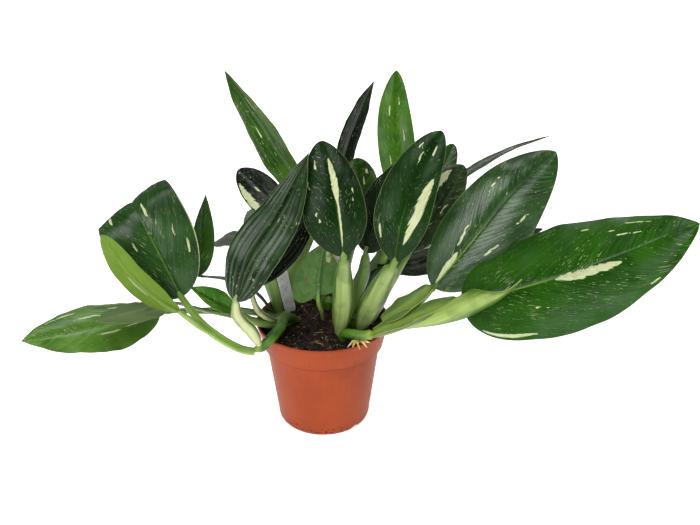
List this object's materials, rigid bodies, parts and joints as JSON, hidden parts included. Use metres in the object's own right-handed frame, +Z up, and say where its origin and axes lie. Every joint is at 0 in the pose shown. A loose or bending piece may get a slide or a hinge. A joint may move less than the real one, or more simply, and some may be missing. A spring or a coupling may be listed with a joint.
{
  "type": "potted monstera plant",
  "caption": "Potted monstera with variegated lance-shaped leaves on winged stalks, in a tapered nursery pot with a plain collar, soil and blank plant labels.",
  "frame": {"origin": "centre of the pot's flat underside, on the surface it stands on", "axes": "+Z up; +X to the right of the plant's front, along its widest spread; +Y towards its back"},
  "size_m": [0.5258, 0.2535, 0.3045],
  "materials": {
    "aerial_root": "matte",
    "leaf_dark": "satin",
    "stalk": "satin",
    "leaf_pale": "matte",
    "leaf_green": "satin",
    "label": "satin",
    "pot": "satin",
    "soil": "matte",
    "stem": "satin"
  },
  "bodies": {
    "root": {"aerial_root": "aerial_root", "back_centre_leaf": "leaf_dark", "back_centre_stalk": "stalk", "back_cream_leaf": "leaf_dark", "back_cream_stalk": "stalk", "back_grey_leaf": "leaf_pale", "back_grey_stalk": "stalk", "back_right_small_leaf": "leaf_dark", "back_right_small_stalk": "stalk", "bent_leaf": "leaf_green", "bent_stalk": "stalk", "centre_front_leaf": "leaf_dark", "centre_front_stalk": "stalk", "centre_streaked_leaf": "leaf_green", "centre_streaked_stalk": "stalk", "cream_edge_leaf": "leaf_dark", "cream_edge_stalk": "stalk", "dark_centre_leaf": "leaf_dark", "dark_centre_stalk": "stalk", "far_left_leaf": "leaf_green", "far_left_stalk": "stalk", "far_right_edge_leaf": "leaf_dark", "far_right_edge_stalk": "stalk", "front_spotted_leaf": "leaf_pale", "front_spotted_stalk": "stalk", "grey_curled_leaf": "leaf_pale", "grey_curled_stalk": "stalk", "label_left": "label", "label_right": "label", "left_dark_leaf": "leaf_dark", "left_dark_stalk": "stalk", "left_ribbed_leaf": "leaf_dark", "left_ribbed_stalk": "stalk", "left_under_leaf": "leaf_pale", "left_under_stalk": "stalk", "left_young_leaf": "leaf_dark", "left_young_stalk": "stalk", "low_right_leaf": "leaf_dark", "low_right_stalk": "stalk", "pot": "pot", "right_large_leaf": "leaf_green", "right_large_sheath": "stalk", "right_large_stalk": "stalk", "right_upper_leaf": "leaf_green", "right_upper_stalk": "stalk", "small_upright_leaf": "leaf_dark", "small_upright_stalk": "stalk", "soil": "soil", "stem_back": "stem", "stem_centre": "stem", "stem_left": "stem", "stem_right": "stem", "tall_left_leaf": "leaf_green", "tall_left_stalk": "stalk", "tall_narrow_leaf": "leaf_dark", "tall_narrow_stalk": "stalk", "tall_right_leaf": "leaf_green", "tall_right_stalk": "stalk", "young_folded_leaf": "leaf_pale", "young_folded_stalk": "stalk"}
  },
  "joints": []
}
